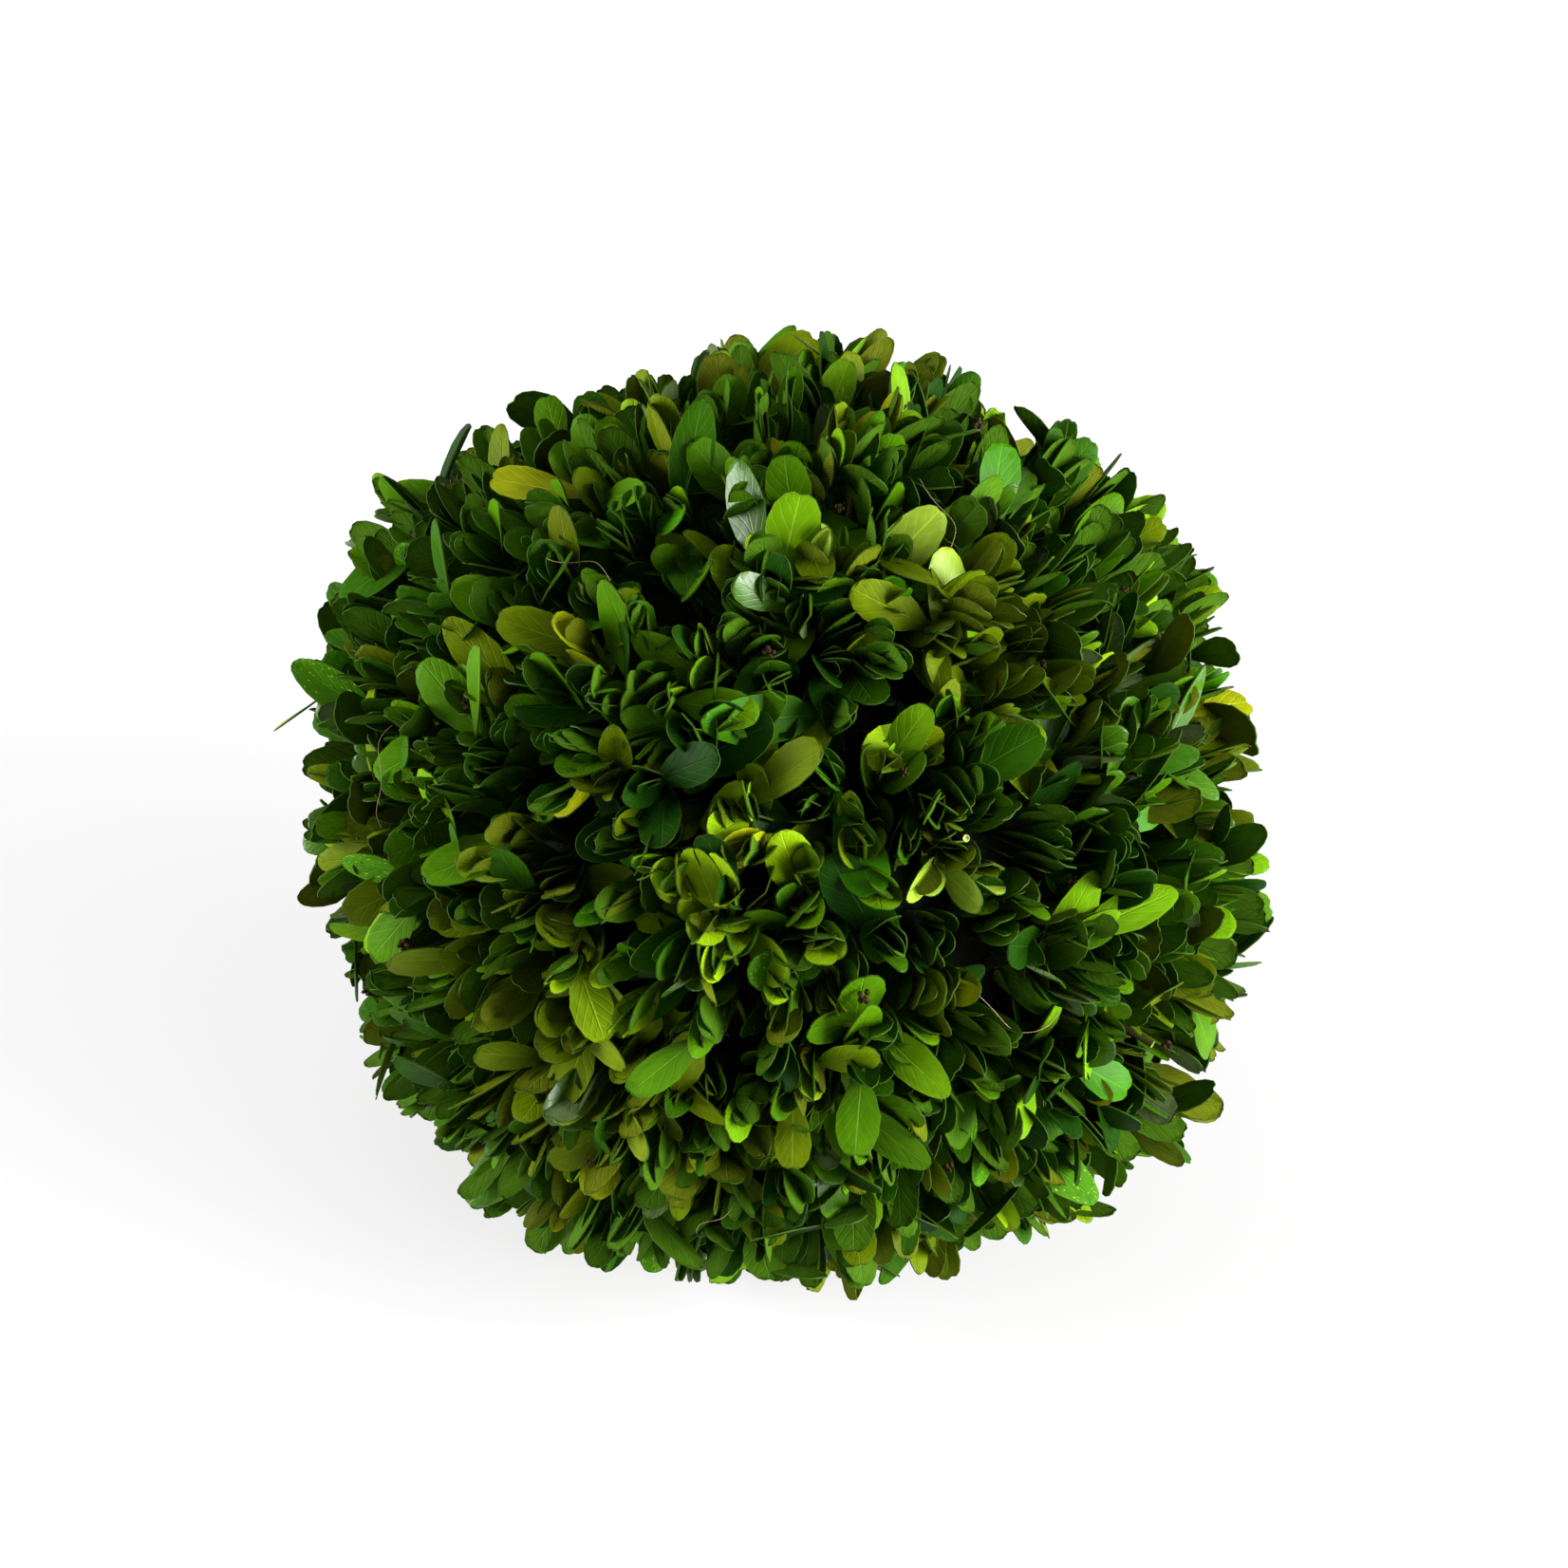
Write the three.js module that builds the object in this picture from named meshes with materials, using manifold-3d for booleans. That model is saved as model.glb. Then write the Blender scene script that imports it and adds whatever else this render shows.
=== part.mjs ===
import * as THREE from 'three';
import { mergeVertices } from 'three/addons/utils/BufferGeometryUtils.js';
import Module from 'manifold-3d';

// A ball of preserved box sprigs, stuck all round into a foam core and clipped round.
// Lengths are in millimetres and +Z is up. The origin is the middle of the flat that it rests on.

// Driving dimensions of the ball
const REACH = 100;
const FOAM_RADIUS = 66;
const MAT_DEPTH = 17;
const FOOT_RADIUS = 30;
const CLEARANCE = 0.3;
const CENTRE_HEIGHT = Math.sqrt(REACH ** 2 - FOOT_RADIUS ** 2);

// Shoulders where the clipping left the ball fuller, as directions and widths in degrees
const SHOULDERS = [
  { azimuth: 156, elevation: 26, rise: 8, spread: 25 },
  { azimuth: -24, elevation: -26, rise: 8, spread: 25 },
  { azimuth: 38, elevation: 36, rise: 4, spread: 24 },
  { azimuth: 223, elevation: -39, rise: 4, spread: 24 },
];

// Driving dimensions of the sprigs
const SPRIG_COUNT = 124;
const SPRIG_WANDER = 5;
const SPRIG_DROOP = 0.06;
const TWIG_RADIUS = 1.1;
const TWIG_TAPER = 0.7;
const TWIG_ROOT_DEPTH = 5;
const TWIG_TIP_DEPTH = 9;
const LEAF_LENGTH = 25;
const LEAF_WIDTH = 15;
const LEAF_THICKNESS = 1.2;
const LEAF_CUP = 1.4;
const LEAF_WIDEST = 0.68;
const LEAF_PAIRS = [
  { spread: 52, drop: 4 },
  { spread: 24, drop: 0 },
];
const LEAF_TRIES = 10;
const SIZE_SPREAD = 0.24;
const BEARING_SPREAD = 0.5;
const REACH_SPREAD = 4;

// How far leaves and twigs keep inside their mass's space, and twigs off its rim
const SPACE_MARGIN = 0.2;
const RIM_SETBACK = 0.03;
const SEED = 7;

// Places of the foliage masses: one at the crown, two rings of five, and one under the ball
const CROWN_NAME = 'foliage_crown';
const FOOT_NAME = 'foliage_foot';
const RING_SIZE = 5;
const RING_ELEVATION = THREE.MathUtils.radToDeg(Math.asin(1 / Math.sqrt(5)));
const UPPER_RING_AZIMUTH = 12;
const LOWER_RING_AZIMUTH = UPPER_RING_AZIMUTH + 180 / RING_SIZE;

// How finely the mats and the foot are divided
const MAT_RINGS = 2;
const MAT_FILL = 0.993;
const FOOT_SEGMENTS = 24;
const FOOT_ARC_STEPS = 5;
const FOOT_HALF_ANGLE = 30.5;
const FOOT_RIM_ANGLE = THREE.MathUtils.radToDeg(Math.asin(FOOT_RADIUS / REACH)) + 2;
const FOAM_DETAIL = 5;
const SLIVER = 0.04;
const SHORTEST_EDGE = 0.01;

// Finishes, with several greens that neighbouring masses take in turn
const FOAM_COLOUR = 0x2a2417;
const FOAM_ROUGHNESS = 0.95;
const LEAF_COLOURS = [0x2f5a12, 0x3a6b17, 0x294f10];
const LEAF_ROUGHNESS = 0.45;

const wasm = await Module();
wasm.setup();

// Numbers between 0 and 1 in a fixed order, so that the ball grows the same each time
function seededNumbers(seed) {
  let state = seed;
  return () => {
    state = (state + 0x6d2b79f5) | 0;
    let bits = Math.imul(state ^ (state >>> 15), 1 | state);
    bits = (bits + Math.imul(bits ^ (bits >>> 7), 61 | bits)) ^ bits;
    return ((bits ^ (bits >>> 14)) >>> 0) / 4294967296;
  };
}

// A value somewhere within a spread around its middle
function varied(middle, spread, random) {
  return middle + spread * (random() - 0.5);
}

function directionAt(azimuth, elevation) {
  const polar = THREE.MathUtils.degToRad(90 - elevation);
  const around = THREE.MathUtils.degToRad(azimuth);
  return new THREE.Vector3(
    Math.sin(polar) * Math.cos(around),
    Math.sin(polar) * Math.sin(around),
    Math.cos(polar),
  );
}

// Distance of the leaf tips from the ball's middle, fuller at the shoulders
function reachAlong(direction) {
  let reach = REACH;
  for (const shoulder of SHOULDERS) {
    const angle = direction.angleTo(directionAt(shoulder.azimuth, shoulder.elevation));
    const share = THREE.MathUtils.radToDeg(angle) / shoulder.spread;
    reach += shoulder.rise * Math.exp(-(share ** 2));
  }
  return reach;
}

// Two directions square to an axis and to each other, turned round it by an angle
function crossAxes(axis, turn) {
  const helper = Math.abs(axis.z) < 0.9 ? new THREE.Vector3(0, 0, 1) : new THREE.Vector3(1, 0, 0);
  const side = new THREE.Vector3().crossVectors(helper, axis).normalize().applyAxisAngle(axis, turn);
  const front = new THREE.Vector3().crossVectors(axis, side);
  return { side, front };
}

function closedGeometry(points, faces) {
  const geometry = new THREE.BufferGeometry();
  const values = points.flatMap((point) => point.toArray());
  geometry.setAttribute('position', new THREE.Float32BufferAttribute(values, 3));
  geometry.setIndex(faces);
  return geometry;
}

function pointsOf(geometry) {
  const position = geometry.getAttribute('position');
  return Array.from({ length: position.count }, (_, i) => new THREE.Vector3().fromBufferAttribute(position, i));
}

function solidOf(geometry) {
  const bare = geometry.clone();
  bare.deleteAttribute('normal');
  bare.deleteAttribute('uv');
  const merged = mergeVertices(bare);
  return new wasm.Manifold(
    new wasm.Mesh({
      numProp: 3,
      vertProperties: merged.getAttribute('position').array,
      triVerts: new Uint32Array(merged.getIndex().array),
    }),
  );
}

function geometryOf(solid) {
  const mesh = solid.getMesh();
  const geometry = new THREE.BufferGeometry();
  geometry.setAttribute('position', new THREE.BufferAttribute(mesh.vertProperties, 3));
  geometry.setIndex(new THREE.BufferAttribute(mesh.triVerts, 1));
  geometry.computeVertexNormals();
  return geometry;
}

function shortestEdge(solid) {
  const { vertProperties, triVerts } = solid.getMesh();
  const corner = (i) => new THREE.Vector3().fromArray(vertProperties, 3 * triVerts[i]);
  let shortest = Infinity;
  for (let i = 0; i < triVerts.length; i += 3) {
    const corners = [corner(i), corner(i + 1), corner(i + 2)];
    for (let k = 0; k < 3; k += 1) {
      shortest = Math.min(shortest, corners[k].distanceTo(corners[(k + 1) % 3]));
    }
  }
  return shortest;
}

// Two solids as one body, or null where one only grazes the other.
// Loose scraps are dropped, and hollows that the leaves seal are filled
function fused(solid, geometry) {
  const pieces = solid.add(solidOf(geometry)).simplify(SLIVER).decompose();
  const body = pieces.reduce((best, piece) => (piece.volume() > best.volume() ? piece : best));
  return shortestEdge(body) > SHORTEST_EDGE ? body : null;
}

// The middles of the foliage masses, each with its neighbours in order around it
function massLayout() {
  const masses = [{ name: CROWN_NAME, middle: directionAt(0, 90) }];
  for (let i = 0; i < RING_SIZE; i += 1) {
    const step = (i * 360) / RING_SIZE;
    const upper = directionAt(UPPER_RING_AZIMUTH + step, RING_ELEVATION);
    const lower = directionAt(LOWER_RING_AZIMUTH + step, -RING_ELEVATION);
    masses.push({ name: `foliage_upper_${i + 1}`, middle: upper });
    masses.push({ name: `foliage_lower_${i + 1}`, middle: lower });
  }
  masses.push({ name: FOOT_NAME, middle: directionAt(0, -90) });
  for (const mass of masses) {
    const { side, front } = crossAxes(mass.middle, 0);
    const bearing = (other) => Math.atan2(other.middle.dot(front), other.middle.dot(side));
    mass.neighbours = masses
      .filter((other) => other !== mass)
      .sort((a, b) => mass.middle.angleTo(a.middle) - mass.middle.angleTo(b.middle))
      .slice(0, RING_SIZE)
      .sort((a, b) => bearing(a) - bearing(b));
    mass.walls = mass.neighbours.map((other) => mass.middle.clone().sub(other.middle).normalize());
  }
  return masses;
}

// Whether all points keep inside a mass's own space, clear of the foam and of the ground
function keepsToSpace(points, mass) {
  return points.every(
    (point) =>
      point.length() > FOAM_RADIUS + CLEARANCE &&
      point.z > CLEARANCE - CENTRE_HEIGHT &&
      mass.walls.every((wall) => point.dot(wall) > SPACE_MARGIN),
  );
}

// Directions of one face of a mat, in rings from its middle to the five-sided rim of its space
function matDirections(mass) {
  const rim = [];
  for (let i = 0; i < RING_SIZE; i += 1) {
    const here = mass.neighbours[i].middle;
    const next = mass.neighbours[(i + 1) % RING_SIZE].middle;
    rim.push(mass.middle.clone().add(here).normalize());
    rim.push(mass.middle.clone().add(here).add(next).normalize());
  }
  const directions = [mass.middle.clone()];
  for (let ring = 1; ring <= MAT_RINGS; ring += 1) {
    const share = (MAT_FILL * ring) / MAT_RINGS;
    for (const point of rim) {
      directions.push(mass.middle.clone().lerp(point, share).normalize());
    }
  }
  return directions;
}

function matFaces(count) {
  const faces = [];
  for (let i = 0; i < count; i += 1) {
    const next = (i + 1) % count;
    faces.push([0, 1 + i, 1 + next]);
    for (let ring = 1; ring < MAT_RINGS; ring += 1) {
      const inner = 1 + (ring - 1) * count;
      const outer = inner + count;
      faces.push([inner + i, outer + i, outer + next]);
      faces.push([inner + i, outer + next, inner + next]);
    }
  }
  return faces;
}

// The mat of matted twig bases that lies over the foam under one mass
function matGeometry(mass) {
  const directions = matDirections(mass);
  const count = 2 * RING_SIZE;
  const faces = matFaces(count);
  const plane = new THREE.Plane();
  const flatness = Math.min(
    ...faces.map((face) => {
      plane.setFromCoplanarPoints(...face.map((corner) => directions[corner]));
      return Math.abs(plane.constant);
    }),
  );
  const innerRadius = (FOAM_RADIUS + CLEARANCE) / flatness;
  const outerRadius = FOAM_RADIUS + MAT_DEPTH;
  const inner = directions.map((direction) => direction.clone().multiplyScalar(innerRadius));
  const outer = directions.map((direction) => direction.clone().multiplyScalar(outerRadius));
  const shift = directions.length;
  const index = [];
  for (const [a, b, c] of faces) {
    index.push(a + shift, b + shift, c + shift);
    index.push(a, c, b);
  }
  const rimStart = shift - count;
  for (let i = 0; i < count; i += 1) {
    const here = rimStart + i;
    const next = rimStart + ((i + 1) % count);
    index.push(here, next, next + shift);
    index.push(here, next + shift, here + shift);
  }
  return closedGeometry([...inner, ...outer], index);
}

// The mat under the ball, pressed flat by its weight into the foot that it rests on
function footMatGeometry() {
  const step = FOOT_HALF_ANGLE / FOOT_ARC_STEPS;
  const sag = Math.cos(THREE.MathUtils.degToRad(step / 2)) * Math.cos(Math.PI / FOOT_SEGMENTS);
  const innerRadius = (FOAM_RADIUS + CLEARANCE) / sag;
  const outerRadius = FOAM_RADIUS + MAT_DEPTH;
  const onArc = (radius, degrees) => {
    const angle = THREE.MathUtils.degToRad(degrees);
    return new THREE.Vector2(radius * Math.sin(angle), -radius * Math.cos(angle));
  };
  const profile = [new THREE.Vector2(0, -CENTRE_HEIGHT), new THREE.Vector2(FOOT_RADIUS, -CENTRE_HEIGHT)];
  profile.push(onArc(outerRadius, FOOT_HALF_ANGLE));
  for (let i = FOOT_ARC_STEPS; i >= 0; i -= 1) {
    profile.push(onArc(innerRadius, i * step));
  }
  return new THREE.LatheGeometry(profile, FOOT_SEGMENTS).rotateX(Math.PI / 2);
}

// A leaf of eight faces, widest past its middle and cupped along the midrib
function leafPoints(length, width) {
  const widest = LEAF_WIDEST * length;
  return [
    new THREE.Vector3(0, 0, 0),
    new THREE.Vector3(width / 2, widest, LEAF_CUP),
    new THREE.Vector3(0, length, 0),
    new THREE.Vector3(-width / 2, widest, LEAF_CUP),
    new THREE.Vector3(0, widest, LEAF_THICKNESS / 2),
    new THREE.Vector3(0, widest, -LEAF_THICKNESS / 2),
  ];
}

function leafFaces() {
  const rimCount = 4;
  const faces = [];
  for (let i = 0; i < rimCount; i += 1) {
    const next = (i + 1) % rimCount;
    faces.push(rimCount, i, next);
    faces.push(rimCount + 1, next, i);
  }
  return faces;
}

// A leaf that spreads from its twig, its upper face towards the twig's own line
function placedLeaf(root, axis, bearing, spread, size) {
  const { side } = crossAxes(axis, bearing);
  const lean = THREE.MathUtils.degToRad(spread);
  const along = axis.clone().multiplyScalar(Math.cos(lean)).addScaledVector(side, Math.sin(lean));
  const upperFace = axis.clone().multiplyScalar(Math.sin(lean)).addScaledVector(side, -Math.cos(lean));
  const across = new THREE.Vector3().crossVectors(along, upperFace);
  const matrix = new THREE.Matrix4().makeBasis(across, along, upperFace).setPosition(root);
  return leafPoints(size * LEAF_LENGTH, size * LEAF_WIDTH).map((point) => point.applyMatrix4(matrix));
}

function twigGeometry(start, end) {
  const axis = end.clone().sub(start);
  const twig = new THREE.CylinderGeometry(TWIG_TAPER * TWIG_RADIUS, TWIG_RADIUS, axis.length(), 3);
  const turn = new THREE.Quaternion().setFromUnitVectors(new THREE.Vector3(0, 1, 0), axis.normalize());
  const middle = start.clone().add(end).multiplyScalar(0.5);
  return twig.applyQuaternion(turn).translate(middle.x, middle.y, middle.z);
}

// Grows one leaf of a sprig onto its mass. One that would leave its space, or only graze
// what is there, is tried more upright and turned aside, and is left out if no try fits
function withLeaf(solid, base, axis, bearing, pair, mass, random) {
  const size = varied(1, SIZE_SPREAD, random);
  const spread = pair.spread * varied(1, SIZE_SPREAD, random);
  const tipReach = varied(reachAlong(base) - pair.drop, REACH_SPREAD, random);
  for (let attempt = 0; attempt < LEAF_TRIES; attempt += 1) {
    const share = attempt / LEAF_TRIES;
    const easedSpread = spread * (1 - share);
    const height = tipReach - size * LEAF_LENGTH * Math.cos(THREE.MathUtils.degToRad(easedSpread));
    const root = base.clone().multiplyScalar(FOAM_RADIUS).addScaledVector(axis, height - FOAM_RADIUS);
    const aside = varied(bearing, share * Math.PI, random);
    const points = placedLeaf(root, axis, aside, easedSpread, size);
    if (keepsToSpace(points, mass)) {
      const next = fused(solid, closedGeometry(points, leafFaces()));
      if (next) {
        return next;
      }
    }
  }
  return solid;
}

// Grows the leaves of one sprig: opposite pairs, each a quarter turn on from the pair before
function withLeaves(solid, base, axis, mass, random) {
  let grown = solid;
  const turn = random() * Math.PI;
  LEAF_PAIRS.forEach((pair, index) => {
    for (const half of [0, 1]) {
      const bearing = varied(turn + (index / 2 + half) * Math.PI, BEARING_SPREAD, random);
      grown = withLeaf(grown, base, axis, bearing, pair, mass, random);
    }
  });
  return grown;
}

// Turns a sprig's base that lies over the flat out to the rim of the foot
function pressedOut(base) {
  const angle = THREE.MathUtils.radToDeg(base.angleTo(new THREE.Vector3(0, 0, -1)));
  if (angle > FOOT_RIM_ANGLE) {
    return base;
  }
  const azimuth = THREE.MathUtils.radToDeg(Math.atan2(base.y, base.x));
  const outward = (FOOT_HALF_ANGLE - FOOT_RIM_ANGLE) * (1 - angle / FOOT_RIM_ANGLE);
  return directionAt(azimuth, FOOT_RIM_ANGLE + outward - 90);
}

// Sprig bases spread evenly over the whole ball on a spiral, each a little off its place
function sprigBases(random) {
  const bases = [];
  const goldenTurn = Math.PI * (3 - Math.sqrt(5));
  for (let i = 0; i < SPRIG_COUNT; i += 1) {
    const height = 1 - (2 * i + 1) / SPRIG_COUNT;
    const ring = Math.sqrt(1 - height ** 2);
    const base = new THREE.Vector3(ring * Math.cos(i * goldenTurn), ring * Math.sin(i * goldenTurn), height);
    const { side } = crossAxes(base, random() * 2 * Math.PI);
    const wander = THREE.MathUtils.degToRad(SPRIG_WANDER) * random();
    bases.push(pressedOut(base.addScaledVector(side, wander).normalize()));
  }
  return bases;
}

function nearestMass(direction, masses) {
  return masses.reduce((best, mass) => (direction.dot(mass.middle) > direction.dot(best.middle) ? mass : best));
}

// Moves a sprig's base off the rim of its mass, so that its twig has room to stand
function setBack(base, mass) {
  for (const wall of mass.walls) {
    const room = base.dot(wall);
    if (room < RIM_SETBACK) {
      base.addScaledVector(wall, RIM_SETBACK - room).normalize();
    }
  }
}

function sprigTwig(base, axis) {
  const foot = base.clone().multiplyScalar(FOAM_RADIUS);
  const start = foot.clone().addScaledVector(axis, MAT_DEPTH - TWIG_ROOT_DEPTH);
  const end = foot.clone().addScaledVector(axis, reachAlong(base) - TWIG_TIP_DEPTH - FOAM_RADIUS);
  return twigGeometry(start, end);
}

// One mass: its mat, with sprigs of leaves that stand out of it
function massGeometry(mass, bases, random) {
  let solid = solidOf(mass.name === FOOT_NAME ? footMatGeometry() : matGeometry(mass));
  for (const base of bases) {
    setBack(base, mass);
    const drooping = base.clone().add(new THREE.Vector3(0, 0, -SPRIG_DROOP)).normalize();
    const axis = keepsToSpace(pointsOf(sprigTwig(base, drooping)), mass) ? drooping : base.clone();
    solid = fused(solid, sprigTwig(base, axis)) ?? solid;
    solid = withLeaves(solid, base, axis, mass, random);
  }
  return geometryOf(solid);
}

function namedMesh(name, geometry, colour, roughness) {
  const material = new THREE.MeshStandardMaterial({ color: colour, roughness, metalness: 0 });
  const mesh = new THREE.Mesh(geometry, material);
  mesh.name = name;
  mesh.position.z = CENTRE_HEIGHT;
  return mesh;
}

function foamGeometry() {
  const geometry = new THREE.IcosahedronGeometry(FOAM_RADIUS, FOAM_DETAIL);
  geometry.deleteAttribute('normal');
  geometry.deleteAttribute('uv');
  return mergeVertices(geometry);
}

function buildBall() {
  const random = seededNumbers(SEED);
  const masses = massLayout();
  const bases = sprigBases(random);
  const ball = new THREE.Group();
  ball.add(namedMesh('foam_core', foamGeometry(), FOAM_COLOUR, FOAM_ROUGHNESS));
  masses.forEach((mass, index) => {
    const own = bases.filter((base) => nearestMass(base, masses) === mass);
    const geometry = massGeometry(mass, own, random);
    const colour = LEAF_COLOURS[index % LEAF_COLOURS.length];
    ball.add(namedMesh(mass.name, geometry, colour, LEAF_ROUGHNESS));
  });
  return ball;
}

export default buildBall();
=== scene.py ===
import math

import bmesh
import bpy
import numpy as np
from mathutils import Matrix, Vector


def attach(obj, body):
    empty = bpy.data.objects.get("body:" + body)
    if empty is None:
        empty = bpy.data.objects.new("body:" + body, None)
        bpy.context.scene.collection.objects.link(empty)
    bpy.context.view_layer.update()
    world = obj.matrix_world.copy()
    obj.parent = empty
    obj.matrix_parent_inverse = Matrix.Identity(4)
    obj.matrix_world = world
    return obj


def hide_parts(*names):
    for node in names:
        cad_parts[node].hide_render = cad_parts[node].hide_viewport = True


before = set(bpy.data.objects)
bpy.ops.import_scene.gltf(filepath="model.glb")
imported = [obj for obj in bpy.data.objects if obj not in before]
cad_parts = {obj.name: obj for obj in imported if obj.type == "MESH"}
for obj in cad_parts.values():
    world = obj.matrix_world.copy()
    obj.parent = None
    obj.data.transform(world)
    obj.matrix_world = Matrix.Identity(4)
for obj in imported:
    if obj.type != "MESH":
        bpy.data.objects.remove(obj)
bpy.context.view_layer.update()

# A ball of preserved box foliage that rests on its own pressed underside.
# Lengths are in millimetres and angles in degrees up to the meshes, which are in metres.
# Azimuths run from +X towards +Y, and the photograph looks from -Y.
MM = 0.001
SEED = 7

# The ball reaches this far, and further round its shoulders: azimuth, elevation, rise, spread
REACH = 100
FOOT_RADIUS = 30
CENTRE_HEIGHT = math.sqrt(REACH**2 - FOOT_RADIUS**2)
SHOULDERS = [(156, 26, 8, 25), (-24, -26, 8, 25), (38, 36, 4, 24), (223, -39, 4, 24)]
# Smaller swells and hollows of the clipping, in the same terms
SWELLS = [
    (20, 23, 9, 13),
    (6, 7, -5, 11),
    (98, 50, -4, 14),
    (140, 39, -7, 11),
    (150, 28, 3, 10),
    (217, -36, 2, 12),
    (230, -42, -2, 12),
    (250, -48, -4, 13),
    (-7, -8, -6, 11),
    (-20, -23, 6, 11),
]
# Sprigs over the foot are turned out to just past its rim, this far from straight down
FOOT_RIM_ANGLE = math.degrees(math.asin(FOOT_RADIUS / REACH)) + 2
# The core, and the lumps of its surface
CORE_RADIUS = 72
CORE_RELIEF = 7
CORE_LUMP = 6

# The masses stand round the ball as its solids do
RING_SIZE = 5
RING_ELEVATION = math.degrees(math.atan(0.5))
UPPER_RING_AZIMUTH = 12
LOWER_RING_AZIMUTH = UPPER_RING_AZIMUTH + 36

# Bunches and sprigs stand on spirals round the ball, each a little off its place
GOLDEN_ANGLE = math.pi * (3 - math.sqrt(5))

# Each bunch fans out from a root in the core. Its tips end a little within the clipped
# ball, and stand highest in the bunch's middle.
BUNCH_COUNT = 52
BUNCH_WANDER = 9
BUNCH_ROOT = 42
BUNCH_HALF_ANGLE = 17
BUNCH_REACH_SPREAD = 5
BUNCH_VALLEY = 4
TIPS_WITHIN = 3

# The sprigs lean by shares of their own length, mostly the way that their bunch is combed.
# Some lean well over, all droop a little, and then they turn partly back to point outwards.
SPRIG_COUNT = 1050
SPRIG_WANDER = 3.2
SPRIG_REACH_SPREAD = 9
SPRIG_LEAN = 0.24
SPRIG_LEAN_SPREAD = 0.15
COMBED = 1.3
LEANING_SHARE = 0.07
LEANING_BY = 0.4
SPRIG_DROOP = 0.06
STRAIGHTENED = 0.3

# The leaves of a sprig, in opposite pairs from its tip down, each pair a quarter turn on
LEAF_PAIRS = [
    {"spread": 4, "drop": 2, "size": 0.9},
    {"spread": 7, "drop": 2, "size": 1.02},
    {"spread": 10, "drop": 7, "size": 1.08},
    {"spread": 15, "drop": 13, "size": 1.08},
    {"spread": 24, "drop": 19, "size": 1.04},
]
# The share of the sprigs that have the lowest pair
LOWEST_PAIR_SHARE = 0.6
LEAF_REACH_SPREAD = 8
LEAF_SIZE_SPREAD = 0.45
LEAF_SPREAD_SHARE = 1.4
LEAF_ROLL_SPREAD = 50
# Most sprigs keep their pairs nearly in one plane instead
TWO_RANKED_SHARE = 0.7
TWO_RANKED_TURN = 0.2
# How far a sprig and a leaf are turned round the twig, in radians
EDGE_WANDER = 0.8
LEAF_BEARING_SPREAD = 0.85
# Some leaves bend out of the sprig
SPLAYED_SHARE = 0.13
SPLAYED_BY = 44
SPLAYED_BY_SPREAD = 40
SPLAYED_SIZE = 1.14
# A leaf tip ends at most this far outside the clipped ball
STRAY = 3.5

# What the ball's weight presses flat, and the loose leaves that lie under it
PRESSED_HEIGHT = 4
PRESSED_GAP = 0.05
PRESSED_LEVEL = np.array([1, 1, 0.05])
PRESSED_COUNT = 110
PRESSED_RADIUS = 22.4
PRESSED_LOWEST = 0.6
PRESSED_LAYER = 2.5
PRESSED_SCATTER = 0.9
PRESSED_TILT = 0.1
PRESSED_SIZE = (0.95, 0.3)

# The twigs, with taper, joints and swelling as shares of their radius or length
TWIG_RADIUS = 0.75
TWIG_ROOT = 66
TWIG_TIP_DEPTH = 13
TWIG_TAPER = 0.6
TWIG_JOINTS = (0.35, 0.7)
TWIG_SWELLING = 1.15

# What stands between the leaves, with a middle and a spread of each size
SNIPPED_COUNT = 60
SNIPPED_WANDER = 9
SNIPPED_LEAN = 0.12
SNIPPED_RADIUS = (0.7, 0.3)
SNIPPED_DEPTH = (15, 8)
# Rings of the cut as shares of its radius, and how far its pith is sunk
BARK_AND_WOOD = (0.22, 0.4)
PITH_SUNK = 0.02
BUD_COUNT = 70
BUD_WANDER = 11
BUD_SIZE = (1, 0.7)
BUD_DEPTH = (10, 8)
# The buds of one cluster
BUDS = [(0, 0, 0.9), (0.8, 0, 0.2), (-0.7, 0.3, 0.3), (0.1, -0.8, 0.1), (0, 0.8, 0)]
BUD_RADIUS = 0.62
BUD_SHAPE = (0.8, 0.8, 1.25)

# Leaf greens: name, colour, share of the sprigs, and which back goes with it
TINTS = [
    ("deep_bottle", "#143602", 0.13, 0),
    ("forest", "#2b5403", 0.15, 0),
    ("leaf", "#426d02", 0.20, 0),
    ("fresh", "#608c06", 0.13, 0),
    ("grass", "#7c9e0a", 0.07, 0),
    ("cool_emerald", "#367002", 0.06, 0),
    ("olive", "#5d7002", 0.17, 1),
    ("bronze", "#4c5803", 0.035, 1),
    ("yellow_green", "#8c940a", 0.045, 1),
    ("pale_lime", "#8ba82c", 0.025, 1),
    ("waxed", "#3a6404", 0.07, 2),
    ("speckled", "#3f7508", 0.03, 0),
]
BACKS = [("green", "#3e620c"), ("olive", "#5d690c"), ("grey", "#566a3c")]
TINT_SHARES = np.array([share for _, _, share, _ in TINTS])
TINT_BACKS = [back for _, _, _, back in TINTS]
# A bunch takes one of the commoner greens, and some of its sprigs and leaves have their own
COMMON_FROM = 0.05
COMMON_SHARES = TINT_SHARES * (TINT_SHARES > COMMON_FROM)
SPRIG_OWN_TINT = 0.6
LEAF_OWN_TINT = 0.25

luck = np.random.default_rng(SEED)


def varied(middle, spread):
    """A value somewhere within a spread around its middle."""
    return middle + spread * (luck.random() - 0.5)


def drawn_tint(shares):
    """The number of a green, drawn by the shares."""
    return int(luck.choice(len(TINTS), p=shares / shares.sum()))


def any_turn():
    return luck.random() * 2 * math.pi


def unit(vector):
    return vector / np.linalg.norm(vector)


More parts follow.
